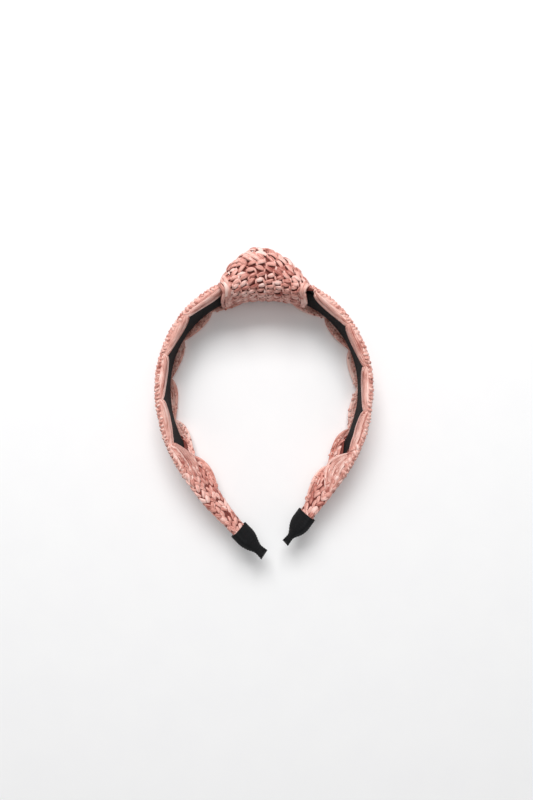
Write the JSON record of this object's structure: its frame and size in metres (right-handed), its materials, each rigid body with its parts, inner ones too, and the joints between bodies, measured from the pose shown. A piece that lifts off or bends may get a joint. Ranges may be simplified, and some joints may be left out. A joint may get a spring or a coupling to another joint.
{
  "type": "knotted headband",
  "caption": "Springy open hoop headband in crocheted raffia with scalloped edges, a large knot on the crown, a ribbon lining and pinched cloth end caps.",
  "frame": {"origin": "centre of the overall box at the level of the surface the headband lies on", "axes": "+Y from the open tips to the knot, +Z out of the hoop's plane and away from the surface, +X to the right arm"},
  "size_m": [0.1325, 0.1892, 0.0369],
  "materials": {
    "hoop_plastic": "satin moulded",
    "lining_ribbon": "ribbed grosgrain weave",
    "cap_cloth": "matte pleated cloth",
    "raffia_crochet": "crocheted paper raffia, soft sheen",
    "raffia_edging": "long raffia shell stitches, soft sheen"
  },
  "bodies": {
    "crown": {"hoop_core_crown": "hoop_plastic", "lining_ribbon_crown": "lining_ribbon", "knot_gathered_core": "raffia_crochet", "knot_wrap": "raffia_crochet"},
    "left_arm": {"hoop_core_left": "hoop_plastic", "lining_ribbon_left": "lining_ribbon", "crochet_strip_left": "raffia_crochet", "scallop_edging_upper_left": "raffia_edging", "scallop_edging_lower_left": "raffia_edging", "end_cap_left": "cap_cloth"},
    "right_arm": {"hoop_core_right": "hoop_plastic", "lining_ribbon_right": "lining_ribbon", "crochet_strip_right": "raffia_crochet", "scallop_edging_upper_right": "raffia_edging", "scallop_edging_lower_right": "raffia_edging", "end_cap_right": "cap_cloth"}
  },
  "joints": [
    {"name": "left_flex", "type": "hinge", "parent": "crown", "child": "left_arm", "pos_m": [-0.02785, 0.07553, 0.01695], "axis": [0, 0, -1], "range_deg": [0, 16], "stiffness_Nm_per_rad": 1.2},
    {"name": "right_flex", "type": "hinge", "parent": "crown", "child": "right_arm", "pos_m": [0.02785, 0.07553, 0.01695], "axis": [0, 0, 1], "range_deg": [0, 16], "stiffness_Nm_per_rad": 1.2}
  ]
}
